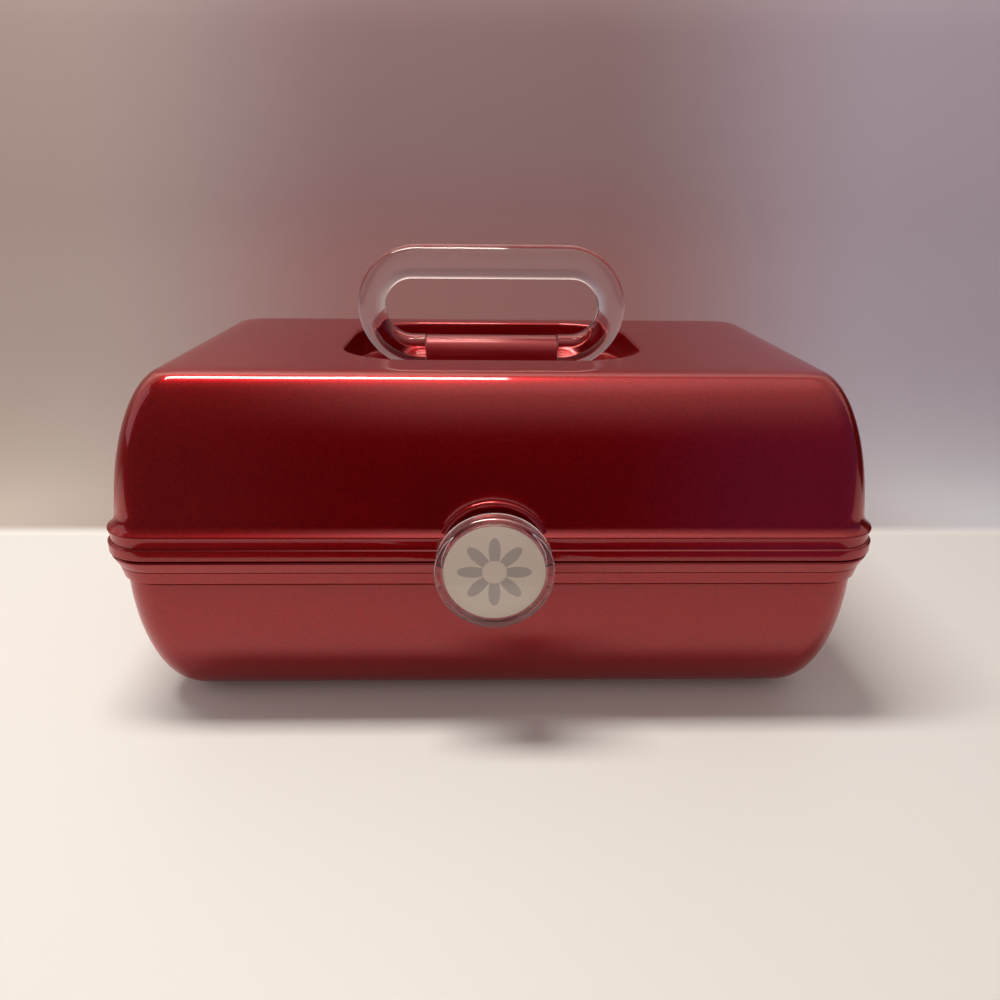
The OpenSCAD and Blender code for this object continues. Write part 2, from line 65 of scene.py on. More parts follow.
def add(tree, kind, inputs=None, **settings):
    """Adds a node. An input is a value, a hex colour, or the output socket of a node that is linked to it."""
    made = tree.nodes.new(kind)
    for name, value in settings.items():
        setattr(made, name, value)
    for name, value in (inputs or {}).items():
        if isinstance(value, bpy.types.NodeSocket):
            tree.links.new(value, made.inputs[name])
        else:
            made.inputs[name].default_value = linear(value) if isinstance(value, str) else value
    return made


def new_material(name):
    """A material and its empty node tree."""
    material = bpy.data.materials.new(name)
    material.use_nodes = True
    material.node_tree.nodes.clear()
    return material, material.node_tree


def place_mesh(name, mesh, material, crease=30):
    """Puts a finished mesh in the scene: smooth faces, sharp where they meet at more than crease degrees."""
    mesh.shade_smooth()
    mesh.set_sharp_from_angle(angle=math.radians(crease))
    mesh.materials.clear()
    mesh.materials.append(material)
    made = bpy.data.objects.new(name, mesh)
    bpy.context.scene.collection.objects.link(made)
    return made


# The sockets of a Mix node for colours: how far, from which colour, to which, and the colour that comes out.
BY, FROM, TO, MIXED = 0, 6, 7, 2

table_paint, tree = new_material("satin_table_laminate")
mottle = add(tree, "ShaderNodeTexNoise", {"Scale": 6.0, "Detail": 3.0}).outputs["Fac"]
tint = add(tree, "ShaderNodeMix", {BY: mottle, FROM: "#F2F0ED", TO: "#EDEBE7"}, data_type="RGBA")
shader = add(tree, "ShaderNodeBsdfPrincipled", {"Base Color": tint.outputs[MIXED], "Roughness": 0.5})
add(tree, "ShaderNodeOutputMaterial", {"Surface": shader.outputs[0]})

table_front, table_reach = -0.262, 4
mesh = bpy.data.meshes.new("table_top")
mesh.from_pydata([(-table_reach, table_front, 0), (table_reach, table_front, 0),
                  (table_reach, table_reach, 0), (-table_reach, table_reach, 0)], [], [(0, 1, 2, 3)])
table_top = place_mesh("table_top", mesh, table_paint)

# The paint is grey left and right. It is paler at the foot, as painted light from the table, with a dusky
# rose patch of painted shade behind the case. It starts in the table's white and ends in a painted dark
# beyond the picture's right edge, which the lid's right edge mirrors. Above the picture it is painted bright,
# as painted light, which only the lid's top mirrors. From behind, the wall is clear, so that it doesn't hide
# the case.
wall_paint, tree = new_material("matt_wall_paint")
facing = add(tree, "ShaderNodeNewGeometry")
where = add(tree, "ShaderNodeTexCoord").outputs["Object"]
parts = add(tree, "ShaderNodeSeparateXYZ", {0: where})
fade = {}
for name, axis, start, end in (
        ("across", "X", -0.5, 0.5), ("rising", "Y", 0.11, 0.40), ("glow", "Z", 0.12, 0.28),
        ("lapping", "Y", 0.104, 0.122), ("beyond", "X", 0.5, 0.72), ("high", "Z", 0.34, 0.62)):
    fade[name] = add(tree, "ShaderNodeMapRange", {
        "Value": parts.outputs[axis], "From Min": start, "From Max": end},
        interpolation_type="SMOOTHSTEP").outputs[0]
# The patch of painted shade is darkest round a point 0.4 m back and 0.17 m up, and fades out from it.
offset = add(tree, "ShaderNodeVectorMath", {0: where, 1: (0.0, -0.4, -0.17)}, operation="ADD")
squashed = add(tree, "ShaderNodeVectorMath", {0: offset.outputs[0], 1: (1.0, 0.2, 0.4)}, operation="MULTIPLY")
shade_patch_reach = add(tree, "ShaderNodeVectorMath", {0: squashed.outputs[0]}, operation="LENGTH")
fade["from_shade_patch"] = add(tree, "ShaderNodeMapRange", {
    "Value": shade_patch_reach.outputs["Value"], "From Min": 0.1, "From Max": 0.38},
    interpolation_type="SMOOTHSTEP").outputs[0]
tone = {}
# Each tone as its name, the fade that mixes it, and its first and last colour. The foot's tones are painted
# light, the rose tones are painted shade, the dark right end is painted shade for the lid to mirror, and the
# bright top is painted light.
for name, far, first, last in (
        ("upper", "across", "#998A85", "#A197A5"), ("lower", "across", "#C6B9AE", "#D9D9E0"),
        ("grey", "rising", "lower", "upper"), ("rose", "glow", "#896363", "#816B6E"),
        ("shade_patch_tone", "from_shade_patch", "rose", "grey"), ("lapped", "lapping", "#F4F1EC", "shade_patch_tone"),
        ("right_painted_dark", "beyond", "lapped", "#33201F"), ("top_painted_light", "high", "right_painted_dark", "#FFF4EE")):
    tone[name] = add(tree, "ShaderNodeMix", {
        BY: fade[far], FROM: tone.get(first, first), TO: tone.get(last, last)},
        data_type="RGBA").outputs[MIXED]
paint = add(tree, "ShaderNodeBsdfDiffuse", {"Color": tone["top_painted_light"]})
gone = add(tree, "ShaderNodeBsdfTransparent")
shader = add(tree, "ShaderNodeMixShader", {
    0: facing.outputs["Backfacing"], 1: paint.outputs[0], 2: gone.outputs[0]})
add(tree, "ShaderNodeOutputMaterial", {"Surface": shader.outputs[0]})

# The sweep, seen from its end: a flat strip just off the table, a quarter bend, and the wall, as (y, z).
wall_foot, bend_start, bend_r, wall_half_w, wall_top = 0.103, 0.2, 0.2, 3, 3.0
foot_lift, bend_lift = 0.0004, 0.0006
sweep = [(wall_foot, foot_lift), (bend_start, bend_lift)]
sweep += [(bend_start + bend_r * math.sin(a), bend_lift + bend_r - bend_r * math.cos(a))
          for a in (math.radians(turn) for turn in range(6, 91, 6))]
sweep += [(bend_start + bend_r, wall_top)]
mesh = bpy.data.meshes.new("wall")
mesh.from_pydata([(x, y, z) for y, z in sweep for x in (-wall_half_w, wall_half_w)], [],
                 [(2 * i, 2 * i + 1, 2 * i + 3, 2 * i + 2) for i in range(len(sweep) - 1)])
wall = place_mesh("wall", mesh, wall_paint, 60)
wall.visible_diffuse = False
wall.visible_shadow = False


# ---- Light ----
# A long soft ceiling lamp above and left of the middle draws the bright line along the lid's front shoulder.
# A pale window far to the left fills the shade.
def area_lamp(name, size_x, size_y, power, colour, at, turn):
    """A soft rectangular lamp: size and place in metres, power in watts, turn in degrees."""
    lamp_data = bpy.data.lights.new(name, "AREA")
    lamp_data.shape = "RECTANGLE"
    lamp_data.size, lamp_data.size_y = size_x, size_y
    lamp_data.energy = power
    lamp_data.color = linear(colour)[:3]
    lamp = bpy.data.objects.new(name, lamp_data)
    lamp.location = at
    lamp.rotation_euler = [math.radians(a) for a in turn]
    bpy.context.scene.collection.objects.link(lamp)


area_lamp("ceiling_lamp", 0.66, 0.18, 10.3, "#FFFBF2", (-0.29, 0.0, 1.15), (0, 0, 0))
area_lamp("side_window", 0.9, 0.5, 1.0, "#F6F4FF", (-1.4, -0.1, 0.7), (0, -66, 0))

# The room gives an even soft light. What the gloss shows of it is a dim front, paler to both sides and bright
# above. The camera sees a plain pale ground past the table's edge.
world = bpy.data.worlds.new("dim_room")
world.use_nodes = True
tree = world.node_tree
tree.nodes.clear()
way = add(tree, "ShaderNodeTexCoord")
parts = add(tree, "ShaderNodeSeparateXYZ", {0: way.outputs["Generated"]})
fade = {}
for name, axis, start, end, first, last in (
        ("dawn", "Z", -0.6, 0.0, 0.45, 1.4), ("noon", "Z", 0.0, 0.5, 1.0, 0.2),
        ("height", "Z", 0.25, 0.85, 0.0, 1.0), ("side", "X", -0.34, -0.04, 0.08, 1.0),
        ("left", "X", -0.12, -0.40, 0.0, 1.0), ("right", "X", 0.14, 0.36, 0.0, 1.0),
        ("depth", "Z", -0.6, -0.3, 0.25, 0.8), ("zenith", "Z", 0.75, 1.0, 1.0, 1.9)):
    fade[name] = add(tree, "ShaderNodeMapRange", {
        "Value": parts.outputs[axis], "From Min": start, "From Max": end, "To Min": first, "To Max": last},
        interpolation_type="SMOOTHSTEP").outputs[0]
for name, one, other in (("soft", "dawn", "noon"), ("above", "height", "side"), ("level", "depth", "zenith")):
    fade[name] = add(tree, "ShaderNodeMath", {0: fade[one], 1: fade[other]}, operation="MULTIPLY").outputs[0]
soft_light = add(tree, "ShaderNodeBackground", {"Color": "#FFF0EC", "Strength": fade["soft"]})
left_tone = add(tree, "ShaderNodeMix", {BY: fade["left"], FROM: "#1A1413", TO: "#5E5350"}, data_type="RGBA")
low_tone = add(tree, "ShaderNodeMix", {
    BY: fade["right"], FROM: left_tone.outputs[MIXED], TO: "#62558A"}, data_type="RGBA")
shown = add(tree, "ShaderNodeMix", {
    BY: fade["above"], FROM: low_tone.outputs[MIXED], TO: "#F0E6E0"}, data_type="RGBA")
shown_light = add(tree, "ShaderNodeBackground", {"Color": shown.outputs[MIXED], "Strength": fade["level"]})
pale = add(tree, "ShaderNodeBackground", {"Color": "#DCD3CE", "Strength": 1.0})
path = add(tree, "ShaderNodeLightPath")
mirrored_ray = add(tree, "ShaderNodeMath", {
    0: path.outputs["Is Glossy Ray"], 1: path.outputs["Is Transmission Ray"]},
    operation="SUBTRACT", use_clamp=True)
gloss = add(tree, "ShaderNodeMixShader", {
    0: mirrored_ray.outputs[0], 1: soft_light.outputs[0], 2: shown_light.outputs[0]})
both = add(tree, "ShaderNodeMixShader", {
    0: path.outputs["Is Camera Ray"], 1: gloss.outputs[0], 2: pale.outputs[0]})
add(tree, "ShaderNodeOutputWorld", {"Surface": both.outputs[0]})
bpy.context.scene.world = world


# ---- Base shell ----
# The lower half of the case, injection moulded in one piece with its collar, the tongue that locates the lid,
# the outer hinge knuckles, the arm bosses and the ledge that the latch snaps over. Pearl red styrene, 2.5 mm.
MM = 0.001
CORNER_STEPS = 18
SIDE_STOPS = (0.012, 0.1, 0.3, 0.5, 0.7, 0.9, 0.988)


def rounded_ring(half_w, half_d, radii, mid_y, z):
    """Points in millimetres round a rectangle with four corner radii, from +X round through +Y."""
    arcs = []
    for quarter in range(4):
        r = radii[quarter]
        mid_x = (half_w - r) * (1, -1, -1, 1)[quarter]
        mid = mid_y + (half_d - r) * (1, 1, -1, -1)[quarter]
        turns = [math.radians(90) * (quarter + step / CORNER_STEPS) for step in range(CORNER_STEPS + 1)]
        arcs.append([Vector((mid_x + r * math.cos(a), mid + r * math.sin(a), z)) for a in turns])
    ring = []
    for quarter in range(4):
        start, end = arcs[quarter][-1], arcs[(quarter + 1) % 4][0]
        ring += arcs[quarter] + [start.lerp(end, stop) for stop in SIDE_STOPS]
    return ring


def case_ring(inset, z):
    """A ring drawn in from the rim of the case."""
    r = max(rim_r - 0.4 * inset, 6)
    return rounded_ring(rim_w / 2 - inset, rim_d / 2 - inset, (r,) * 4, 0, z)


def eased(path, steps=5):
    """Rounds the corners of a path of (a, b, radius)."""
    done = [Vector(path[0][:2])]
    for before, here, after in zip(path, path[1:], path[2:]):
        corner = Vector(here[:2])
        back, on = Vector(before[:2]) - corner, Vector(after[:2]) - corner
        turn = back.angle(on)
        if here[2] == 0 or turn > math.radians(178):
            done.append(corner)
            continue
        cut = min(here[2] / math.tan(turn / 2), 0.49 * back.length, 0.49 * on.length)
        first, last = corner + back.normalized() * cut, corner + on.normalized() * cut
        for step in range(steps + 1):
            t = step / steps
            done.append(first * (1 - t) ** 2 + corner * 2 * t * (1 - t) + last * t ** 2)
    return done + [Vector(path[-1][:2])]


def quarter_curve(inset, reach, z0, z1, first, last, steps=36):
    """The walls' long quarter ellipse, upright at z0 and level at z1, from one angle to another."""
    turns = [math.radians(first + (last - first) * step / steps) for step in range(steps + 1)]
    return [(inset + reach * (1 - math.cos(a)), z0 + (z1 - z0) * math.sin(a), 0) for a in turns]


def loft(rings, closed=False):
    """A bmesh over rings of equal count, with flat caps unless it closes on itself."""
    shell = bmesh.new()
    rows = [[shell.verts.new(p * MM) for p in ring] for ring in rings]
    count = len(rows[0])
    pairs = list(zip(rows, rows[1:])) + ([(rows[-1], rows[0])] if closed else [])
    for low, high in pairs:
        for j in range(count):
            k = (j + 1) % count
            shell.faces.new((low[j], low[k], high[k], high[j]))
    if not closed:
        shell.faces.new(rows[0][::-1])
        shell.faces.new(rows[-1])
    return shell


def turned(profile, place, around):
    """A bmesh turned from (along, radius) points; place puts (along, across, up) on the case."""
    body = bmesh.new()
    rows = []
    for along, radius in profile:
        if radius < 1e-6:
            rows.append([body.verts.new(Vector(place(along, 0, 0)) * MM)])
        else:
            turns = [2 * math.pi * step / around for step in range(around)]
            points = [place(along, radius * math.cos(a), radius * math.sin(a)) for a in turns]
            rows.append([body.verts.new(Vector(p) * MM) for p in points])
    closed = len(rows[0]) > 1
    for low, high in list(zip(rows, rows[1:])) + ([(rows[-1], rows[0])] if closed else []):
        for j in range(around):
            k = (j + 1) % around
            corners = [low[j % len(low)], low[k % len(low)], high[k % len(high)], high[j % len(high)]]
            unique = list(dict.fromkeys(corners))
            if len(unique) > 2:
                body.faces.new(unique)
    return body


def bar_x(x0, x1, r, y, z, ease=0.3):
    """A round bar along X with eased ends."""
    profile = eased([(x0, 0, 0), (x0, r, ease), (x1, r, ease), (x1, 0, 0)], 3)
    return turned(profile, lambda along, across, up: (along, y + across, z + up), 48)


def on_latch(along, across, up):
    """Puts a point on the latch's line, which runs from front to back."""
    return across, along, latch_z + up


def bar_y(front, back, r, ease=0.0):
    """A round bar on the latch's line, with an eased front end."""
    return turned(eased([(front, 0, 0), (front, r, ease), (back, r, 0), (back, 0, 0)], 4), on_latch, 120)


def block(low, high, ease=0.3):
    """A box between two corners with eased edges."""
    body = bmesh.new()
    bmesh.ops.create_cube(body, size=1)
    low, high = Vector(low), Vector(high)
    for v in body.verts:
        v.co = Vector([(low[i] + high[i]) / 2 + v.co[i] * (high[i] - low[i]) for i in range(3)]) * MM
    if ease:
        bmesh.ops.bevel(body, geom=body.edges[:], offset=ease * MM, segments=2, affect="EDGES", profile=0.5)
    return body


def mirrored(body):
    """The same shape on the other side of the case."""
    other = body.copy()
    for v in other.verts:
        v.co.x = -v.co.x
    bmesh.ops.reverse_faces(other, faces=other.faces[:])
    return other


def to_mesh(name, body):
    """Turns a bmesh into a mesh with its faces outwards, and frees it."""
    bmesh.ops.remove_doubles(body, verts=body.verts[:], dist=1e-7)
    bmesh.ops.recalc_face_normals(body, faces=body.faces[:])
    mesh = bpy.data.meshes.new(name)
    body.to_mesh(mesh)
    body.free()
    return mesh


def carve(target, bodies, operation):
    """Adds shapes to a piece, or cuts them out of it, one after the other."""
    for body in bodies:
        tool = bpy.data.objects.new("tool", to_mesh("tool", body))
        bpy.context.scene.collection.objects.link(tool)
        change = target.modifiers.new("change", "BOOLEAN")
        change.operation = operation
        change.solver = "MANIFOLD"
        change.object = tool
        seen = target.evaluated_get(bpy.context.evaluated_depsgraph_get())
        mesh = bpy.data.meshes.new_from_object(seen)
        target.modifiers.clear()
        target.data = mesh
        bpy.data.objects.remove(tool)


def finish_piece(target, crease=30):
    """Smooth faces and crisp creases on a carved piece."""
    target.data.shade_smooth()
    target.data.set_sharp_from_angle(angle=math.radians(crease))


# Pearl styrene, moulded against a polished tool: a gloss skin over fine mica flakes, which glow where they
# face the light and fall dark where they don't. Flakes are about 0.1 mm; drawn at 0.5 mm so that they show.
# Flow marks are about 70 mm across, the skin ripples every 22 mm, and hairline scratches run up to 40 mm.
pearl_red, tree = new_material("pearl_red_styrene")
where = add(tree, "ShaderNodeTexCoord").outputs["Object"]
flow = add(tree, "ShaderNodeTexNoise", {
    "Vector": where, "Scale": 14.0, "Detail": 3.0, "Roughness": 0.55}).outputs["Fac"]
flake = add(tree, "ShaderNodeTexVoronoi", {"Vector": where, "Scale": 2000.0})
flake_shade = add(tree, "ShaderNodeSeparateColor", {0: flake.outputs["Color"]})
tone = add(tree, "ShaderNodeMix", {BY: flow, FROM: "#7A060C", TO: "#88080F"}, data_type="RGBA")
fleck = add(tree, "ShaderNodeMix", {
    BY: flake_shade.outputs[0], FROM: tone.outputs[MIXED], TO: "#9A0E14"}, data_type="RGBA")
stretch = add(tree, "ShaderNodeMapping", {
    "Vector": where, "Rotation": (0.3, 0.5, 0.35), "Scale": (26.0, 900.0, 900.0)})
hair = add(tree, "ShaderNodeTexNoise", {
    "Vector": stretch.outputs[0], "Scale": 1.0, "Detail": 1.0}).outputs["Fac"]
scratch = add(tree, "ShaderNodeMapRange", {"Value": hair, "From Min": 0.76, "From Max": 0.80})
rough = add(tree, "ShaderNodeMapRange", {
    "Value": flow, "From Min": 0.3, "From Max": 0.7, "To Min": 0.27, "To Max": 0.33})
marred = add(tree, "ShaderNodeMath", {
    0: scratch.outputs[0], 1: 0.18, 2: rough.outputs[0]}, operation="MULTIPLY_ADD")
skin = add(tree, "ShaderNodeTexNoise", {"Vector": where, "Scale": 45.0, "Detail": 1.0}).outputs["Fac"]
ripple = add(tree, "ShaderNodeBump", {"Height": skin, "Strength": 0.05, "Distance": 0.0006})
scored = add(tree, "ShaderNodeBump", {
    "Height": scratch.outputs[0], "Strength": 0.35, "Distance": 0.00006, "Normal": ripple.outputs[0]})
grain = add(tree, "ShaderNodeBump", {
    "Height": flake_shade.outputs[1], "Strength": 0.10, "Distance": 0.00005, "Normal": ripple.outputs[0]})
shader = add(tree, "ShaderNodeBsdfPrincipled", {
    "Base Color": fleck.outputs[MIXED], "Metallic": 0.72, "Roughness": marred.outputs[0], "IOR": 1.5,
    "Specular IOR Level": 0.2, "Specular Tint": "#F01216", "Coat Weight": 0.8, "Coat Roughness": 0.05,
    "Coat IOR": 1.62, "Normal": grain.outputs[0], "Coat Normal": scored.outputs[0]})
add(tree, "ShaderNodeOutputMaterial", {"Surface": shader.outputs[0]})

# The shell's section from the foot's inner corner out, up and back in: inset from the rim, height, radius.
rim_w, rim_d, rim_r, wall_t = 330, 200, 20, 2.5
lid_z, base_z = 75.8, 75.0
base_in, base_round, base_curve_z, foot_h, foot_in, collar_low = 5, 20, 61, 3.5, 28, base_z - 11
foot = [(foot_in + 3, 0, 0), (foot_in, 0, 0.8), (foot_in, foot_h, 0.6)]
collar = [(base_in, collar_low - 1.0, 0.3), (base_in + 0.6, collar_low - 0.2, 0.2),
          (base_in + 0.6, collar_low, 0.1), (base_in - 1.4, collar_low + 0.1, 0.3),
          (2.6, base_z - 5.6, 0.1), (2.75, base_z - 5.3, 0.1), (2.4, base_z - 5.1, 0.15),
          (0.6, base_z - 0.6, 0.5), (1, base_z, 0.2)]
tongue = [(3.4, base_z, 0.15), (3.4, base_z + 3.3, 0.2), (3.7, base_z + 3.6, 0.2), (5, base_z + 3.6, 0.3),
          (5, base_z - 6, 1.0)]
floor = [(foot_in + wall_t, foot_h + wall_t, 0.8), (foot_in + wall_t, wall_t, 0.8),
         (foot_in + wall_t + 3, wall_t, 0)]
base_section = eased(
    foot + quarter_curve(base_in, base_round, base_curve_z, foot_h, 90, 0) + collar + tongue
    + quarter_curve(base_in + wall_t, base_round, base_curve_z, foot_h + wall_t, 0, 90) + floor)
base_mesh = to_mesh("base", loft([case_ring(p.x, p.y) for p in base_section]))
base_shell = place_mesh("base_shell_moulding", base_mesh, pearl_red)

# The round room in its front for the latch, then the outer knuckles of the two hinges.
latch_z, pad_y, room_r = 77.3, 98.2, 22.4
carve(base_shell, [bar_y(-pad_y - 10, -pad_y, room_r)], "DIFFERENCE")
hinge_x, hinge_y, hinge_z, knuckle_step = 85, 105.2, 75.4, 10.3
knuckle_r, knuckle_half, strap_front, strap_t = 4.6, 5, 98, 4


def knuckle(x, strap_low):
    """A hinge knuckle and the strap that joins it to a shell's back."""
    return [bar_x(x - knuckle_half, x + knuckle_half, knuckle_r, hinge_y, hinge_z, 0.5),
            block((x - knuckle_half + 0.1, strap_front, strap_low),
                  (x + knuckle_half - 0.1, hinge_y, strap_low + strap_t))]


for hinge_mid in (-hinge_x, hinge_x):
    for x in (hinge_mid - knuckle_step, hinge_mid + knuckle_step):
        carve(base_shell, knuckle(x, base_z - strap_t - 0.2), "UNION")

# Bosses inside for the arms' pivots, the ledge for the latch, and the bores that hold the steel.
anchor_y, anchor_z, arm_x, arm_t = 40.2971, 49.1775, 149.8, 2.8
pivot_r, pin_r, slack = 2.5, 1.5, 0.05
arm_boss = bar_x(arm_x + arm_t + 0.1, 159, 5.5, anchor_y, anchor_z)
keeper = block((-7, -pad_y - 1.4, latch_z - 13), (7, -94.2, latch_z - 10.8))
carve(base_shell, [mirrored(arm_boss), arm_boss, keeper], "UNION")
anchor_bore = bar_x(arm_x, arm_x + arm_t + 5, pivot_r, anchor_y, anchor_z, 0)
hinge_bore = bar_x(hinge_x - 20, hinge_x + 20, pin_r, hinge_y, hinge_z, 0)
carve(base_shell, [mirrored(anchor_bore), anchor_bore, mirrored(hinge_bore), hinge_bore], "DIFFERENCE")
finish_piece(base_shell)
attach(base_shell, "base")
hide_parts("base_shell")


# ---- Hinge pins and arm pivots ----
# Drawn steel wire, cut and headed; the hinge pins are pressed into the base's knuckles,
# the arm pivots into its bosses. The CAD solids stay and take this finish: bright, with fine lines along X.
steel, tree = new_material("drawn_steel")
where = add(tree, "ShaderNodeTexCoord").outputs["Object"]
along = add(tree, "ShaderNodeMapping", {"Vector": where, "Scale": (60.0, 2500.0, 2500.0)})
draw_lines = add(tree, "ShaderNodeTexNoise", {
    "Vector": along.outputs[0], "Scale": 1.0, "Detail": 2.0}).outputs["Fac"]
tone = add(tree, "ShaderNodeMix", {BY: draw_lines, FROM: "#B4B6B8", TO: "#CDCFD1"}, data_type="RGBA")
rough = add(tree, "ShaderNodeMapRange", {"Value": draw_lines, "To Min": 0.22, "To Max": 0.36})
relief = add(tree, "ShaderNodeBump", {"Height": draw_lines, "Strength": 0.2, "Distance": 0.00003})
shader = add(tree, "ShaderNodeBsdfPrincipled", {
    "Base Color": tone.outputs[MIXED], "Metallic": 1.0, "Roughness": rough.outputs[0],
    "Normal": relief.outputs[0]})
add(tree, "ShaderNodeOutputMaterial", {"Surface": shader.outputs[0]})


def give_finish(names, material):
    """Puts a finish on CAD solids that stay."""
    for name in names:
        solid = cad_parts[name]
        solid.data.materials.clear()
        solid.data.materials.append(material)


give_finish(["hinge_pin_left", "hinge_pin_right", "arm_base_pin_left", "arm_base_pin_right"], steel)


# ---- Tray ----
# One tray that the opening lid lifts, injection moulded in ivory styrene: a long front row and four small
# bins behind. Bosses on its ends take the steel pivots that carry it.
# The tool is lightly blasted, so the styrene has a soft even sheen over a 0.7 mm stipple.
tray_plastic, tree = new_material("satin_ivory_styrene")
where = add(tree, "ShaderNodeTexCoord").outputs["Object"]
haze = add(tree, "ShaderNodeTexNoise", {"Vector": where, "Scale": 18.0, "Detail": 4.0}).outputs["Fac"]
stipple = add(tree, "ShaderNodeTexNoise", {"Vector": where, "Scale": 1400.0, "Detail": 1.0}).outputs["Fac"]
tone = add(tree, "ShaderNodeMix", {BY: haze, FROM: "#D8CDC6", TO: "#E0D7D1"}, data_type="RGBA")
rough = add(tree, "ShaderNodeMapRange", {"Value": haze, "To Min": 0.36, "To Max": 0.48})
relief = add(tree, "ShaderNodeBump", {"Height": stipple, "Strength": 0.12, "Distance": 0.00006})
shader = add(tree, "ShaderNodeBsdfPrincipled", {
    "Base Color": tone.outputs[MIXED], "Roughness": rough.outputs[0], "IOR": 1.55,
    "Normal": relief.outputs[0], "Subsurface Weight": 0.08, "Subsurface Radius": (0.004, 0.003, 0.002),
    "Subsurface Scale": 0.5})
add(tree, "ShaderNodeOutputMaterial", {"Surface": shader.outputs[0]})

tray_half_w, tray_front, tray_back, tray_low, tray_high, tray_t, tray_r = 148.4, -86, 80, 33, 71, 2, 14
tray_mid, tray_half_d = (tray_back + tray_front) / 2, (tray_back - tray_front) / 2


def tray_ring(inset, z):
    """A ring drawn in from the tray's outside."""
    return rounded_ring(
        tray_half_w - inset, tray_half_d - inset, (max(tray_r - inset, 2),) * 4, tray_mid, z)


tray_section = eased([(6, tray_low, 0), (0, tray_low, 2.0), (0, tray_high, 0.7), (6, tray_high, 0)])
tray_mesh = to_mesh("tray", loft([tray_ring(p.x, p.y) for p in tray_section]))
tray = place_mesh("tray_moulding", tray_mesh, tray_plastic)

# The hollows, as corners and their four radii; the webs between them are 2 mm thick, as the walls are.
web_y, web_half, bin_r, end_r, bin_w = 15, 1, 3, 12, 2 * tray_half_w / 4
hollows = [((-tray_half_w + tray_t, tray_front + tray_t, tray_half_w - tray_t, web_y - web_half),
            (bin_r, bin_r, end_r, end_r))]
for i in range(4):
    left = -tray_half_w + i * bin_w + (tray_t if i == 0 else web_half)
    right = -tray_half_w + (i + 1) * bin_w - (tray_t if i == 3 else web_half)
    hollows.append(((left, web_y + web_half, right, tray_back - tray_t),
                    (end_r if i == 3 else bin_r, end_r if i == 0 else bin_r, bin_r, bin_r)))
hollow_section = eased([(8, tray_low + tray_t, 0), (0, tray_low + tray_t, 2.5),
                        (0, tray_high + 2, 0), (8, tray_high + 2, 0)])
for (x0, y0, x1, y1), radii in hollows:
    rings = []
    for p in hollow_section:
        inset_radii = [max(r - p.x, 0.6) for r in radii]
        ring = rounded_ring((x1 - x0) / 2 - p.x, (y1 - y0) / 2 - p.x, inset_radii, (y0 + y1) / 2, p.y)
        rings.append([q + Vector(((x0 + x1) / 2, 0, 0)) for q in ring])
    carve(tray, [loft(rings)], "DIFFERENCE")

rear_y, rear_z, front_y, front_z = 46.1115, 64.9811, -18.7913, 38.7586
boss_start, boss_end, boss_r = 142.4, 149.7, 5
for y, z in ((rear_y, rear_z), (front_y, front_z)):
    boss = bar_x(boss_start, boss_end, boss_r, y, z, 0.4)
    bore = bar_x(boss_start - 4, boss_end + 1.1, pivot_r, y, z, 0)
    carve(tray, [mirrored(boss), boss], "UNION")
    carve(tray, [mirrored(bore), bore], "DIFFERENCE")
finish_piece(tray)
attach(tray, "tray")
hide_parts("tray")
give_finish(["tray_front_pin_left", "tray_front_pin_right",
             "tray_rear_pin_left", "tray_rear_pin_right"], steel)


# ---- Tray dividers ----
# Two loose plates of clear acrylic, cut from sheet with rounded top corners.
# They stand across the front row and slide out by hand.
# Polished acrylic is clear with a faint surface haze from handling, in patches about 17 mm across.
clear_acrylic, tree = new_material("polished_clear_acrylic")
where = add(tree, "ShaderNodeTexCoord").outputs["Object"]
waves = add(tree, "ShaderNodeTexNoise", {"Vector": where, "Scale": 60.0, "Detail": 2.0}).outputs["Fac"]
handling = add(tree, "ShaderNodeMapRange", {
    "Value": waves, "From Min": 0.35, "From Max": 0.75, "To Min": 0.015, "To Max": 0.05})
tone = add(tree, "ShaderNodeMix", {BY: waves, FROM: "#F6F4F4", TO: "#FBFAFA"}, data_type="RGBA")
shader = add(tree, "ShaderNodeBsdfPrincipled", {
    "Base Color": tone.outputs[MIXED], "Transmission Weight": 1.0, "IOR": 1.49,
    "Roughness": handling.outputs[0]})
add(tree, "ShaderNodeOutputMaterial", {"Surface": shader.outputs[0]})

plate_front, plate_back, plate_low, plate_high, plate_cut, plate_half_t = -83.8, 13.8, 35.05, 65, 3, 0.8
outline = [(plate_front, plate_low), (plate_back, plate_low), (plate_back, plate_high - plate_cut),
           (plate_back - plate_cut, plate_high), (plate_front + plate_cut, plate_high),
           (plate_front, plate_high - plate_cut)]
corners = [(y, z, 0.3 if z == plate_low else 2.0) for y, z in outline]
path = eased([(*outline[-1], 0)] + corners + [(*outline[0], 0)], 4)[1:-1]
plates = bmesh.new()
for x in (-52, 38):
    front = [plates.verts.new(Vector((x - plate_half_t, p.x, p.y)) * MM) for p in path]
    back = [plates.verts.new(Vector((x + plate_half_t, p.x, p.y)) * MM) for p in path]
    plates.faces.new(front)
    plates.faces.new(back[::-1])
    for j in range(len(path)):
        k = (j + 1) % len(path)
        plates.faces.new((front[j], front[k], back[k], back[j]))
dividers = place_mesh("divider_plates", to_mesh("dividers", plates), clear_acrylic)
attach(dividers, "tray")
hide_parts("tray_dividers")


# ---- Tray arms ----
# Flat links, moulded in the tray's plastic, from the base's pivots to the front of the tray.
# The CAD solids stay and take the tray's finish.
give_finish(["tray_arm_left", "tray_arm_right"], tray_plastic)


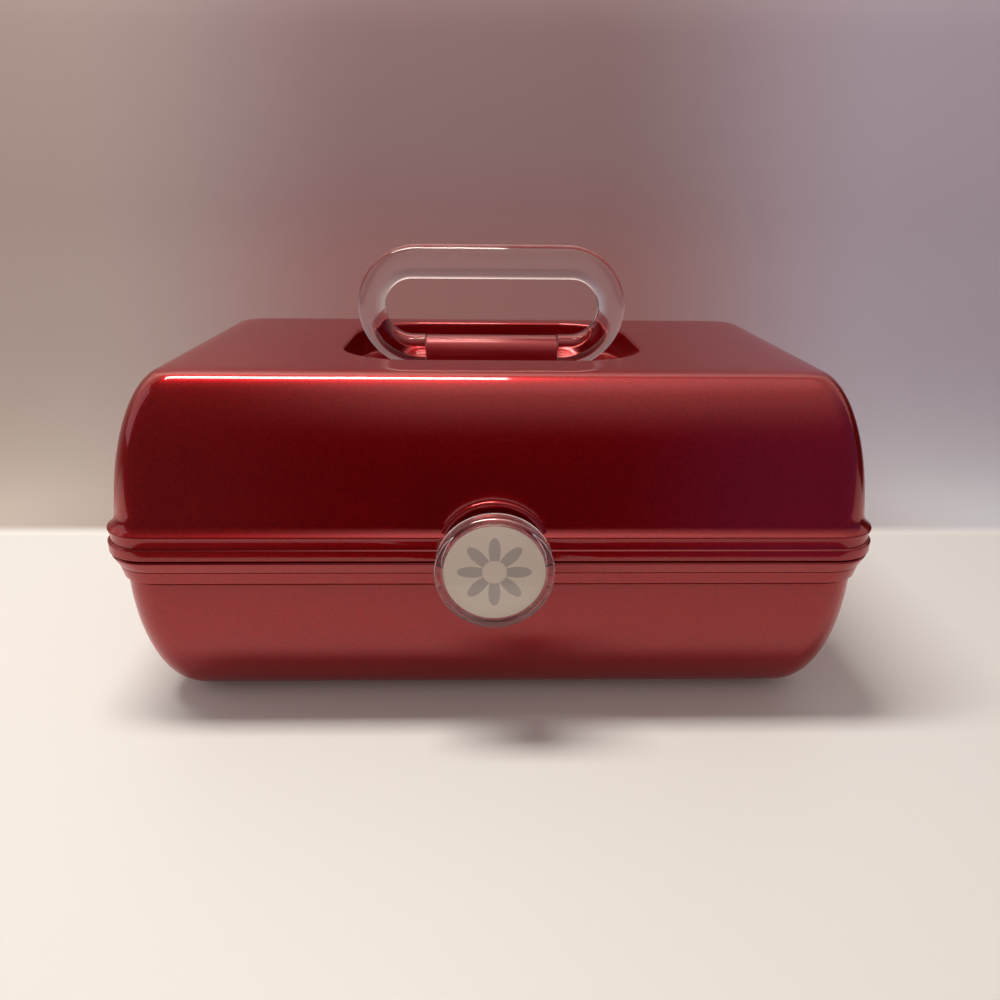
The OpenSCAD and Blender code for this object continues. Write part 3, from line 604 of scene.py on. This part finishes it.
# ---- Lid shell ----
# The upper half: one moulding with the lip and bead round its foot, the well in its top for the folded
# handle, the round pad and pocket behind the latch, hinge knuckles, tray ears and four mirror posts.
top_z, well_floor, handle_y, handle_z, barrel_r = 150.5, 135.5, 4, 144, 8.5
well_half_w, well_half_d, well_r = 70.3, 53.2, 34
lid_in, lid_round, lid_curve_z, lip_t = 2.7, 25, 71, 3


def well_ring(inset, z):
    """A ring drawn in from the wall of the handle well."""
    return rounded_ring(well_half_w - inset, well_half_d - inset, (well_r - inset,) * 4, handle_y, z)


def shaped(body, bodies, operation):
    """A shape that is carved by others before it is used to carve a piece."""
    blank = bpy.data.objects.new("blank", to_mesh("blank", body))
    bpy.context.scene.collection.objects.link(blank)
    carve(blank, bodies, operation)
    done = bmesh.new()
    done.from_mesh(blank.data)
    bpy.data.objects.remove(blank)
    return done


# The shell's section: down the well's wall, over the crown of the top, which falls a little towards its
# edges, down the walls, round the cove and the lip, up inside, and back under the well.
well_section = eased([(14, well_floor, 0), (0, well_floor, 2.2), (0, top_z, 1.8), (-5, top_z, 0)], 6)
crown_start, crown_pull, crown_end, crown_fall, crown_steps = 36, 25.07, 22.5, 1.74, 16
crown = [(crown_start * (1 - t) ** 2 + 2 * crown_pull * t * (1 - t) + crown_end * t ** 2,
          top_z - crown_fall * t ** 2, 0) for t in (step / crown_steps for step in range(crown_steps))]
cove_in, cove_reach, cove_z, cove_fall = 3.5, 6.2, 92.2, 6.4
cove = [(cove_in - cove_reach * (1 - math.cos(a)), cove_z - cove_fall * math.sin(a), 0)
        for a in (math.radians(turn) for turn in range(12, 60, 6))]
lip = [(0.4, lid_z + 10.7, 0.7), (0.5, lid_z + 9.6, 0.15), (1.1, lid_z + 9.5, 0.1), (1.1, lid_z + 5.4, 0.1),
       (0.6, lid_z + 5.35, 0.1), (0, lid_z + 4.8, 0.6), (0, lid_z + 0.6, 0.3), (0.6, lid_z, 0.3),
       (lip_t, lid_z, 0.3), (lip_t, lid_z + 4.6, 0.4)]
lid_section = eased(
    crown + quarter_curve(lid_in, lid_round, lid_curve_z, top_z, 78, 15, 40) + cove + lip
    + quarter_curve(lid_in + wall_t, lid_round, lid_curve_z, top_z - wall_t, 10, 90))
under_section = eased([(-7, top_z - wall_t, 0), (-wall_t, top_z - wall_t, 1.5),
                       (-wall_t, well_floor - wall_t, 1.5), (12, well_floor - wall_t, 0)], 4)
rings = [well_ring(p.x, p.y) for p in well_section] + [case_ring(p.x, p.y) for p in lid_section]
rings += [well_ring(p.x, p.y) for p in under_section]
lid_shell = place_mesh("lid_shell_moulding", to_mesh("lid", loft(rings)), pearl_red)

# The pad round the latch, cut off under the lip and hollowed for the base's tongue, and the mirror's posts.
pad_r, post_x, post_y, post_r, post_low, post_high = 24.7, 106, 55, 4.5, 129, 149.2
below_lip = block((-30, -105, 40), (30, -80, lid_z + 0.05), 0)
tongue_room = block((-30, -97, lid_z - 5), (30, -80, lid_z + 4.6), 0)
pad = shaped(bar_y(-pad_y, -94.8, pad_r, 1.6), [below_lip, tongue_room], "DIFFERENCE")
post_section = eased([(post_low, 0, 0), (post_low, post_r, 0.4),
                      (post_high, post_r, 0), (post_high, 0, 0)], 3)
posts = [turned(post_section, lambda along, across, up, x=x, y=y: (x + across, y + up, along), 40)
         for x in (-post_x, post_x) for y in (handle_y - post_y, handle_y + post_y)]
carve(lid_shell, [pad] + posts, "UNION")

# The latch's room in the pad, and the deeper pocket behind it up to its pin.
latch_pin_y, latch_pin_z = -103.5, 90.3
below_pin = block((-30, -105, 40), (30, -90, latch_pin_z - 1), 0)
room = bar_y(-pad_y - 10, -pad_y, room_r)
pocket = shaped(bar_y(-pad_y - 0.5, -pad_y + 3, room_r), [below_pin], "DIFFERENCE")
carve(lid_shell, [room, pocket], "DIFFERENCE")

# Two ears for the latch's pin, two inside for the tray's rear pivots, and the middle knuckles of the hinges.
ear_x0, ear_x1, ear_r, root_z = 5, 8.5, 2.6, lid_z + 6.6
latch_ear = [bar_x(ear_x0, ear_x1, ear_r, latch_pin_y, latch_pin_z, 0.2),
             block((ear_x0 + 0.05, latch_pin_y, latch_pin_z - ear_r + 0.05),
                   (ear_x1 - 0.05, -95.3, latch_pin_z + ear_r - 0.05), 0.2)]
tray_ear = [bar_x(arm_x, arm_x + arm_t, 6, rear_y, rear_z, 0.2),
            block((arm_x, rear_y - 5.95, root_z), (160.8, rear_y + 5.95, root_z + 4)),
            block((arm_x + 0.05, rear_y - 5.9, rear_z),
                  (arm_x + arm_t - 0.05, rear_y + 5.9, root_z + 3.9), 0.2)]
for body in latch_ear + tray_ear:
    carve(lid_shell, [mirrored(body), body], "UNION")
for x in (-hinge_x, hinge_x):
    carve(lid_shell, knuckle(x, lid_z + 0.2), "UNION")

# A saddle in the well that the handle's barrel is screwed down on, and the bores that turn on the steel.
saddle_block = block((-25, handle_y - 4.5, well_floor - 1), (25, handle_y + 4.5, well_floor + 2), 0.4)
saddle = shaped(saddle_block, [bar_x(-40, 40, barrel_r + slack, handle_y, handle_z, 0)], "DIFFERENCE")
carve(lid_shell, [saddle], "UNION")
ear_bore = bar_x(3, 10, pin_r + slack, latch_pin_y, latch_pin_z, 0)
rear_bore = bar_x(arm_x - 1, arm_x + arm_t + 1, pivot_r + slack, rear_y, rear_z, 0)
knuckle_bore = bar_x(hinge_x - 10, hinge_x + 10, pin_r + slack, hinge_y, hinge_z, 0)
for body in (ear_bore, rear_bore, knuckle_bore):
    carve(lid_shell, [mirrored(body), body], "DIFFERENCE")
finish_piece(lid_shell)
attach(lid_shell, "lid")
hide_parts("lid_shell")


# ---- Mirror ----
# A float-glass mirror in a moulded frame that is screwed to four posts inside the lid.
# The glass is silvered behind, so it shows a clean reflection under a faint green cast.
frame_half_w, frame_half_d, frame_r = 113, 62, 10
frame_low, frame_high, ledge_in, ledge_t, opening_in = 124, post_low, 15, 1.1, 17
frame_section = eased([(8, frame_low, 0), (opening_in, frame_low, 0.5),
                       (opening_in, frame_low + ledge_t, 0.2), (ledge_in, frame_low + ledge_t, 0.1),
                       (ledge_in, frame_high, 0.5), (0, frame_high, 0.8), (0, frame_low, 1.2),
                       (7.9, frame_low, 0)], 4)
rings = [rounded_ring(frame_half_w - p.x, frame_half_d - p.x, (max(frame_r - 0.5 * p.x, 4),) * 4,
                      handle_y, p.y) for p in frame_section]
frame_mesh = to_mesh("mirror_frame", loft(rings, True))
mirror_frame = place_mesh("mirror_frame_moulding", frame_mesh, tray_plastic)
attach(mirror_frame, "lid")
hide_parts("mirror_frame")

silvered, tree = new_material("silvered_float_glass")
where = add(tree, "ShaderNodeTexCoord").outputs["Object"]
smear = add(tree, "ShaderNodeTexNoise", {"Vector": where, "Scale": 22.0, "Detail": 3.0}).outputs["Fac"]
tone = add(tree, "ShaderNodeMix", {BY: smear, FROM: "#DDE4E2", TO: "#E6EBEA"}, data_type="RGBA")
rough = add(tree, "ShaderNodeMapRange", {
    "Value": smear, "From Min": 0.4, "From Max": 0.8, "To Min": 0.01, "To Max": 0.05})
shader = add(tree, "ShaderNodeBsdfPrincipled", {
    "Base Color": tone.outputs[MIXED], "Metallic": 1.0, "Roughness": rough.outputs[0]})
add(tree, "ShaderNodeOutputMaterial", {"Surface": shader.outputs[0]})
give_finish(["mirror_glass"], silvered)


# ---- Screws ----
# Pan-head cross-recess screws: four hold the mirror frame up to the posts, two hold the handle's barrel.
# Formed and bright, as the pins are. One node tree sets out the rows and forms each screw.
tree = screw_tree = bpy.data.node_groups.new("screw_rows", "GeometryNodeTree")
sockets = tree.interface
sockets.new_socket("Geometry", in_out="OUTPUT", socket_type="NodeSocketGeometry")
for label, kind in (
        ("Count X", "Int"), ("Count Y", "Int"), ("Span X", "Float"), ("Span Y", "Float"),
        ("Shank Radius", "Float"), ("Shank Length", "Float"), ("Head Radius", "Float"),
        ("Head Height", "Float"), ("Metal", "Material")):
    sockets.new_socket(label, in_out="INPUT", socket_type="NodeSocket" + kind)
given = tree.nodes.new("NodeGroupInput").outputs
grid = add(tree, "GeometryNodeMeshGrid", {
    "Vertices X": given["Count X"], "Vertices Y": given["Count Y"],
    "Size X": given["Span X"], "Size Y": given["Span Y"]})
shank = add(tree, "GeometryNodeMeshCylinder", {
    "Vertices": 20, "Radius": given["Shank Radius"], "Depth": given["Shank Length"]})
crown_r = add(tree, "ShaderNodeMath", {0: given["Head Radius"], 1: 0.62}, operation="MULTIPLY")
head = add(tree, "GeometryNodeMeshCone", {
    "Vertices": 28, "Radius Bottom": crown_r.outputs[0], "Radius Top": given["Head Radius"],
    "Depth": given["Head Height"]})
recess_w = 0.0006
arm_long = add(tree, "ShaderNodeCombineXYZ", {
    "X": given["Head Radius"], "Y": recess_w, "Z": given["Head Height"]})
arm_wide = add(tree, "ShaderNodeCombineXYZ", {
    "X": recess_w, "Y": given["Head Radius"], "Z": given["Head Height"]})
slot_a = add(tree, "GeometryNodeMeshCube", {"Size": arm_long.outputs[0]})
slot_b = add(tree, "GeometryNodeMeshCube", {"Size": arm_wide.outputs[0]})
slots = add(tree, "GeometryNodeJoinGeometry", {0: slot_a.outputs["Mesh"]})
tree.links.new(slot_b.outputs["Mesh"], slots.inputs[0])
moved = {}
for name, shape, measure, times in (
        ("shank", shank.outputs["Mesh"], "Shank Length", 0.5),
        ("head", head.outputs["Mesh"], "Head Height", -1.0),
        ("slots", slots.outputs[0], "Head Height", -1.35)):
    lift = add(tree, "ShaderNodeMath", {0: given[measure], 1: times}, operation="MULTIPLY")
    at = add(tree, "ShaderNodeCombineXYZ", {"Z": lift.outputs[0]})
    moved[name] = add(tree, "GeometryNodeTransform", {
        "Geometry": shape, "Translation": at.outputs[0]}).outputs[0]
recess = add(tree, "GeometryNodeMeshBoolean", {
    "Mesh 1": moved["head"], "Mesh 2": moved["slots"]}, operation="DIFFERENCE")
screw = add(tree, "GeometryNodeJoinGeometry", {0: moved["shank"]})
tree.links.new(recess.outputs["Mesh"], screw.inputs[0])
row = add(tree, "GeometryNodeInstanceOnPoints", {
    "Points": grid.outputs["Mesh"], "Instance": screw.outputs[0]})
real = add(tree, "GeometryNodeRealizeInstances", {0: row.outputs[0]})
plated = add(tree, "GeometryNodeSetMaterial", {"Geometry": real.outputs[0], "Material": given["Metal"]})
add(tree, "NodeGroupOutput", {0: plated.outputs[0]})


def screw_rows(name, at, settings):
    """One mesh of screws, set out from the middle point given in millimetres."""
    holder = bpy.data.objects.new("holder", bpy.data.meshes.new("holder"))
    bpy.context.scene.collection.objects.link(holder)
    rows = holder.modifiers.new("rows", "NODES")
    rows.node_group = screw_tree
    for item in sockets.items_tree:
        if item.in_out == "INPUT":
            rows[item.identifier] = settings[item.name]
    seen = holder.evaluated_get(bpy.context.evaluated_depsgraph_get())
    mesh = bpy.data.meshes.new_from_object(seen)
    bpy.data.objects.remove(holder)
    for v in mesh.vertices:
        v.co += Vector(at) * MM
    return place_mesh(name, mesh, steel)


common = {"Shank Radius": 0.0014, "Head Radius": 0.0028, "Head Height": 0.0017, "Metal": steel}
mirror_screws = screw_rows("mirror_screw_set", (0, handle_y, frame_low), {
    **common, "Count X": 2, "Count Y": 2, "Span X": 2 * post_x * MM, "Span Y": 2 * post_y * MM,
    "Shank Length": 0.013})
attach(mirror_screws, "lid")
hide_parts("mirror_screws")
barrel_screws = screw_rows("barrel_screw_set", (0, handle_y, well_floor - wall_t), {
    **common, "Count X": 2, "Count Y": 1, "Span X": 0.036, "Span Y": 0.0, "Shank Length": 0.0085})
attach(barrel_screws, "lid")
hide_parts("barrel_screws")


# ---- Handle barrel ----
# A red sleeve across the well, screwed down from below; the handle's stub axles turn in its ends.
# Moulded in gloss styrene of the shells' colour with little pearl, and rubbed a little by use.
barrel_red, tree = new_material("gloss_red_styrene")
where = add(tree, "ShaderNodeTexCoord").outputs["Object"]
rub = add(tree, "ShaderNodeTexNoise", {"Vector": where, "Scale": 40.0, "Detail": 4.0}).outputs["Fac"]
tone = add(tree, "ShaderNodeMix", {BY: rub, FROM: "#8C1018", TO: "#A01A22"}, data_type="RGBA")
rough = add(tree, "ShaderNodeMapRange", {
    "Value": rub, "From Min": 0.3, "From Max": 0.7, "To Min": 0.26, "To Max": 0.34})
relief = add(tree, "ShaderNodeBump", {"Height": rub, "Strength": 0.05, "Distance": 0.0003})
shader = add(tree, "ShaderNodeBsdfPrincipled", {
    "Base Color": tone.outputs[MIXED], "Metallic": 0.35, "Roughness": rough.outputs[0], "Coat Weight": 0.6,
    "Coat Roughness": 0.12, "Normal": relief.outputs[0]})
add(tree, "ShaderNodeOutputMaterial", {"Surface": shader.outputs[0]})

barrel_half, axle_r, bore_end = 32.5, 4, 19.5
bore_r = axle_r + slack
barrel_section = eased([
    (-bore_end, 0, 0), (-bore_end, bore_r, 0), (-barrel_half, bore_r, 0.2), (-barrel_half, barrel_r, 0.5),
    (barrel_half, barrel_r, 0.5), (barrel_half, bore_r, 0.2), (bore_end, bore_r, 0), (bore_end, 0, 0)], 4)
barrel_body = turned(barrel_section, lambda along, across, up: (along, handle_y + across, handle_z + up), 96)
barrel = place_mesh("barrel_sleeve", to_mesh("barrel", barrel_body), barrel_red)
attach(barrel, "lid")
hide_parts("handle_barrel")


# ---- Handle loop ----
# A solid bar of clear acrylic, moulded as a flattened ring that is open below, with a stub axle at each end.
# The bar is deeper along its top and bottom than round its ends; its edges are well rounded.
loop_mid_z, outer_r, outer_x, inner_r, inner_x = 166.3, 29.6, 36.2, 13.6, 38.9
bar_half_t, bar_edge, edge_steps, arc_steps = 6.5, 5.2, 8, 40
loop_start = barrel_half + 0.4


def bar_rail(radius, straight_x):
    """One edge of the loop as (x, z), from its right end over the top to its left end."""
    arc = [math.radians(180 - 180 * step / arc_steps) for step in range(arc_steps + 1)]
    rail = [(loop_start + (straight_x - loop_start) * t, -radius) for t in (0, 0.5)]
    rail += [(straight_x + radius * math.sin(a), radius * math.cos(a)) for a in arc]
    rail += [(straight_x * (1 - t), radius) for t in (0.03, 0.25, 0.5, 0.75, 1)]
    return rail + [(-x, z) for x, z in rail[-2::-1]]


rings = []
for (xo, zo), (xi, zi) in zip(bar_rail(outer_r, outer_x), bar_rail(inner_r, inner_x)):
    outer, inner = Vector((xo, 0, zo)), Vector((xi, 0, zi))
    across, half = (outer - inner).normalized(), (outer - inner).length / 2
    middle = (outer + inner) / 2 + Vector((0, handle_y, loop_mid_z))
    ring = []
    for quarter in range(4):
        for step in range(edge_steps + 1):
            a = math.radians(90) * (quarter + step / edge_steps)
            u = (half - bar_edge) * (1, -1, -1, 1)[quarter] + bar_edge * math.cos(a)
            v = (bar_half_t - bar_edge) * (1, 1, -1, -1)[quarter] + bar_edge * math.sin(a)
            ring.append(middle + across * u + Vector((0, v, 0)))
    rings.append(ring)
loop = place_mesh("handle_loop_bar", to_mesh("loop", loft(rings)), clear_acrylic)
axle = bar_x(loop_start - 12.4, loop_start + 3, axle_r, handle_y, handle_z)
carve(loop, [mirrored(axle), axle], "UNION")
finish_piece(loop, 40)
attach(loop, "handle")
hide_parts("handle_loop")


# ---- Latch cup ----
# A red moulded cup that swings on a pin at its top: four ribs step out towards the front,
# and a hook inside its lower edge snaps over the ledge on the base.
cup_back, cup_front, cup_r, cup_ribs, rib_step, rib_grow = 100, 111.2, 21.5, 4, 2.8, 0.43
hollow_r, hollow_front = 17.9, 108.8
cup_path = [(-cup_front, 0, 0)]
for rib in reversed(range(cup_ribs)):
    r = cup_r - 1.3 + rib_grow * rib
    front = cup_back + (rib + 1) * rib_step
    groove = 0.0 if rib == cup_ribs - 1 else 0.7
    cup_path += [(-front, r - groove, 0.25), (-front + 0.35, r, 0.5), (-front + 2.1, r, 0.5),
                 (-front + 2.5, r - 0.6, 0.25)]
cup_path += [(-cup_back, cup_r - 1.9, 0.2), (-cup_back, hollow_r, 0.2), (-hollow_front, hollow_r, 0.4),
             (-hollow_front, 0, 0)]
cup_mesh = to_mesh("cup", turned(eased(cup_path, 3), on_latch, 128))
cup = place_mesh("latch_cup_ribbed", cup_mesh, pearl_red)

# Two grips inside hold the pin, the hook stands below, and slots in the wall clear the lid's ears.
grip_x0, grip_x1 = 8.9, 12.4
grip_block = block((grip_x0, -110.2, latch_pin_z - 2.6), (grip_x1, -100.6, latch_pin_z + 5.6), 0)
grip = shaped(grip_block, [bar_y(-120, -90, 18.6)], "INTERSECT")
hook = block((-6, -110.2, latch_z - 15.4), (6, -99.9, latch_z - 13.4), 0.2)
carve(cup, [mirrored(grip), grip, hook], "UNION")
ear_slot = block((4.6, latch_pin_y - 1.5, latch_pin_z), (grip_x0, latch_pin_y + 4.5, latch_pin_z + 12), 0)
pin_bore = bar_x(-grip_x1, grip_x1, pin_r, latch_pin_y, latch_pin_z, 0)
carve(cup, [mirrored(ear_slot), ear_slot, pin_bore], "DIFFERENCE")
finish_piece(cup)
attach(cup, "latch")
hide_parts("latch_cup")
give_finish(["latch_pin"], steel)


# ---- Latch card ----
# A disc of matt card between the cup and the clear cover, off-white with a pale grey print.
# The print here is a plain rosette of eight petals in a ring. Paper fibre shows as a fine 2 mm mottle.
petal_long, petal_base, heart_r, ink_edge = 0.0115, 0.0035, 0.005, 0.0001
card_stock, tree = new_material("printed_matt_card")
where = add(tree, "ShaderNodeTexCoord").outputs["Object"]
centred = add(tree, "ShaderNodeMapping", {"Vector": where, "Location": (0.0, 0.1117, -latch_z * MM)})
parts = add(tree, "ShaderNodeSeparateXYZ", {0: centred.outputs[0]})
reach = add(tree, "ShaderNodeVectorMath", {0: centred.outputs[0]}, operation="LENGTH")
turn = add(tree, "ShaderNodeMath", {0: parts.outputs["Z"], 1: parts.outputs["X"]}, operation="ARCTAN2")
four = add(tree, "ShaderNodeMath", {0: turn.outputs[0], 1: 4.0}, operation="MULTIPLY")
lobes = add(tree, "ShaderNodeMath", {0: four.outputs[0]}, operation="COSINE")
lobe_size = add(tree, "ShaderNodeMath", {0: lobes.outputs[0]}, operation="ABSOLUTE")
edge = add(tree, "ShaderNodeMath", {
    0: lobe_size.outputs[0], 1: petal_long, 2: petal_base}, operation="MULTIPLY_ADD")
inside = add(tree, "ShaderNodeMath", {0: edge.outputs[0], 1: reach.outputs["Value"]}, operation="SUBTRACT")
petal = add(tree, "ShaderNodeMapRange", {
    "Value": inside.outputs[0], "From Min": -ink_edge, "From Max": ink_edge})
heart = add(tree, "ShaderNodeMapRange", {
    "Value": reach.outputs["Value"], "From Min": heart_r - ink_edge, "From Max": heart_r + ink_edge})
print_mask = add(tree, "ShaderNodeMath", {0: petal.outputs[0], 1: heart.outputs[0]}, operation="MULTIPLY")
fibre = add(tree, "ShaderNodeTexNoise", {"Vector": where, "Scale": 500.0, "Detail": 3.0}).outputs["Fac"]
stock = add(tree, "ShaderNodeMix", {BY: fibre, FROM: "#EADDC9", TO: "#F4E9D8"}, data_type="RGBA")
ink = add(tree, "ShaderNodeMix", {BY: fibre, FROM: "#BDB2A8", TO: "#C6BCB2"}, data_type="RGBA")
printed = add(tree, "ShaderNodeMix", {
    BY: print_mask.outputs[0], FROM: stock.outputs[MIXED], TO: ink.outputs[MIXED]}, data_type="RGBA")
relief = add(tree, "ShaderNodeBump", {"Height": fibre, "Strength": 0.15, "Distance": 0.00005})
shader = add(tree, "ShaderNodeBsdfPrincipled", {
    "Base Color": printed.outputs[MIXED], "Roughness": 0.85, "Normal": relief.outputs[0]})
add(tree, "ShaderNodeOutputMaterial", {"Surface": shader.outputs[0]})

card_front, card_back, card_r = -111.62, -111.21, 20.8
card_section = eased([(card_front, 0, 0), (card_front, card_r, 0.1), (card_back, card_r, 0.1),
                      (card_back, 0, 0)], 2)
card = place_mesh("card_disc", to_mesh("card", turned(card_section, on_latch, 128)), card_stock)
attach(card, "latch")
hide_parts("latch_card")


# ---- Latch cover ----
# A clear acrylic cap that snaps over the cup and holds the card: a thick rim round a slightly sunk window,
# with a skirt behind. Moulded and polished, with well rounded edges.
cover_front, window_front, cover_r, window_r, rim_in = -115.1, -114.3, 24.2, 20.6, 21.5
skirt_back, skirt_r, card_face = -108.3, 21.65, -111.7
cover_section = eased([
    (window_front, 0, 0), (window_front, window_r, 0.5), (cover_front, rim_in, 0.5),
    (cover_front, cover_r, 1.9), (skirt_back, cover_r, 0.4), (skirt_back, skirt_r, 0.2),
    (card_face, skirt_r, 0.1), (card_face, 0, 0)], 6)
cover = place_mesh("cover_cap", to_mesh("cover", turned(cover_section, on_latch, 144)), clear_acrylic, 40)
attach(cover, "latch")
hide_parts("latch_cover")
